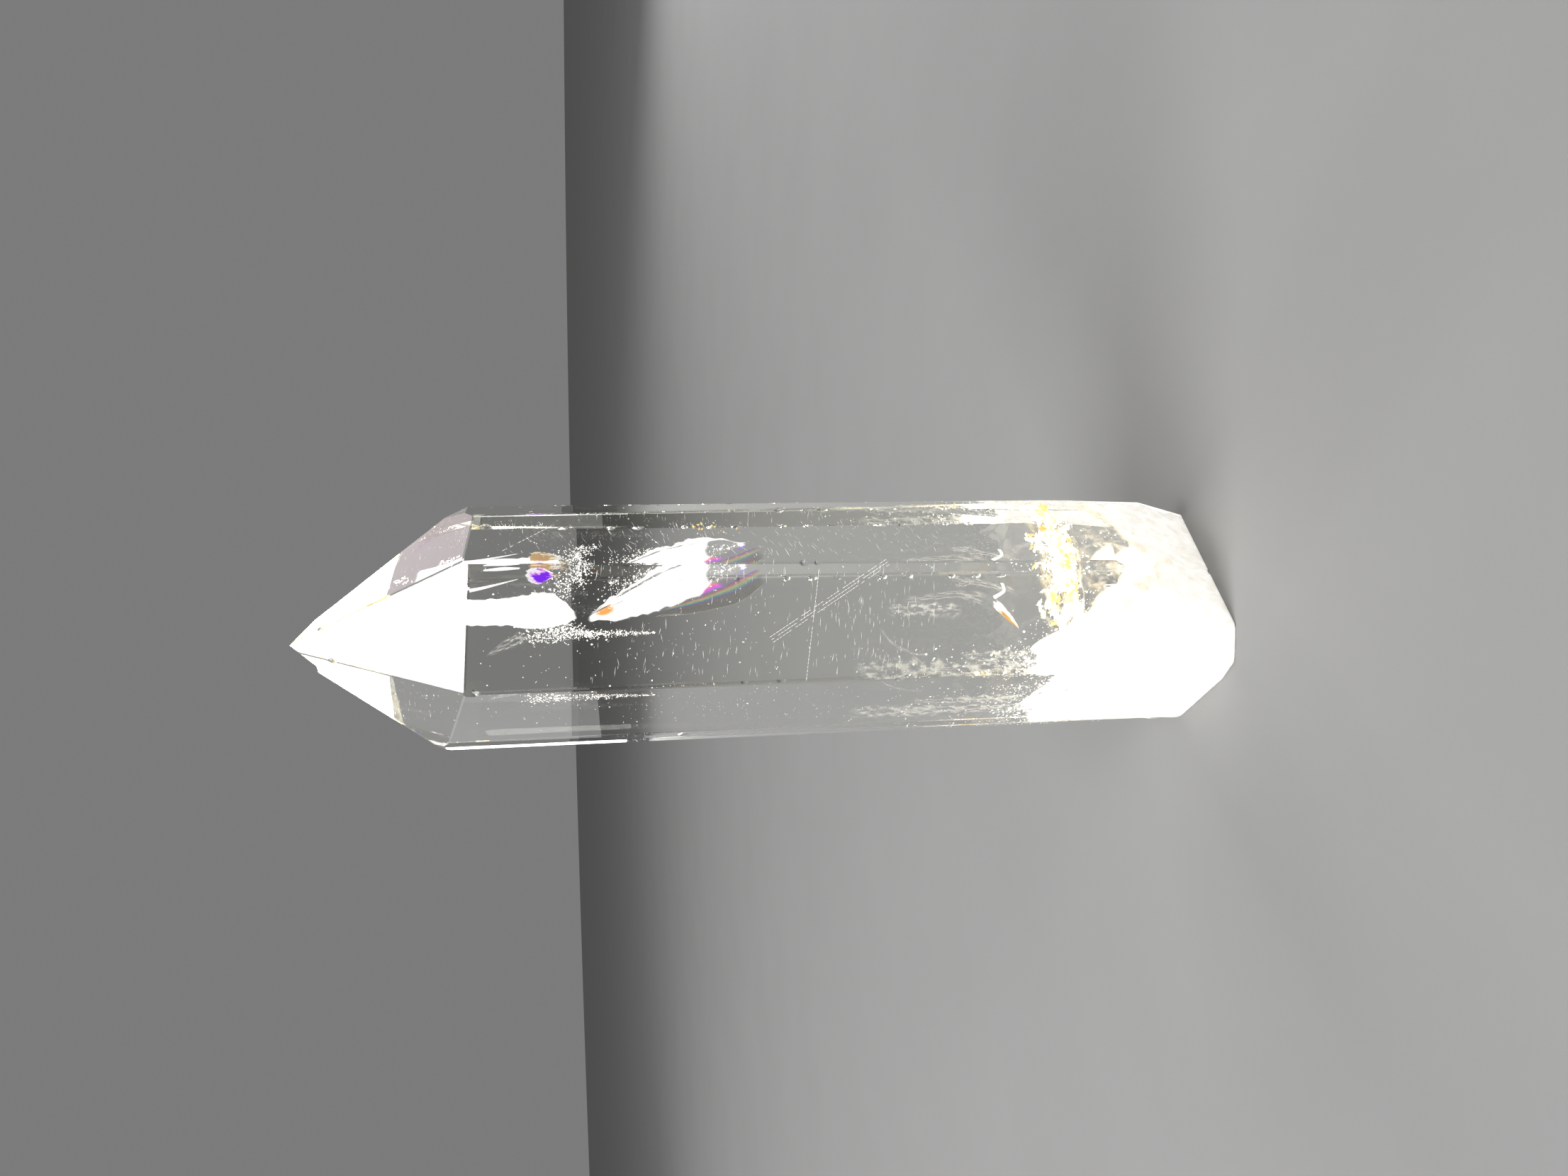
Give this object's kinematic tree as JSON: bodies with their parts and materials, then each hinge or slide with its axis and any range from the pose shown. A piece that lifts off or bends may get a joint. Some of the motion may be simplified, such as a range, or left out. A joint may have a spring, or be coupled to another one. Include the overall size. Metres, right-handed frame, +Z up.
{
  "type": "rock crystal point",
  "caption": "Clear natural quartz crystal point: a six-sided body with chipped edges, a slanted off-centre tip, a milky iron-stained root and a flat cut base to stand on.",
  "frame": {"origin": "middle of the base, on the surface that the crystal stands on", "axes": "+Z up along the crystal, the widest face looks along -Y, +X to the right of that face"},
  "size_m": [0.0342, 0.0306, 0.1329],
  "materials": {
    "quartz": "clear, glossy natural faces with fine scratches, milky at the root"
  },
  "bodies": {
    "root": {"crystal_point": "quartz"}
  },
  "joints": []
}
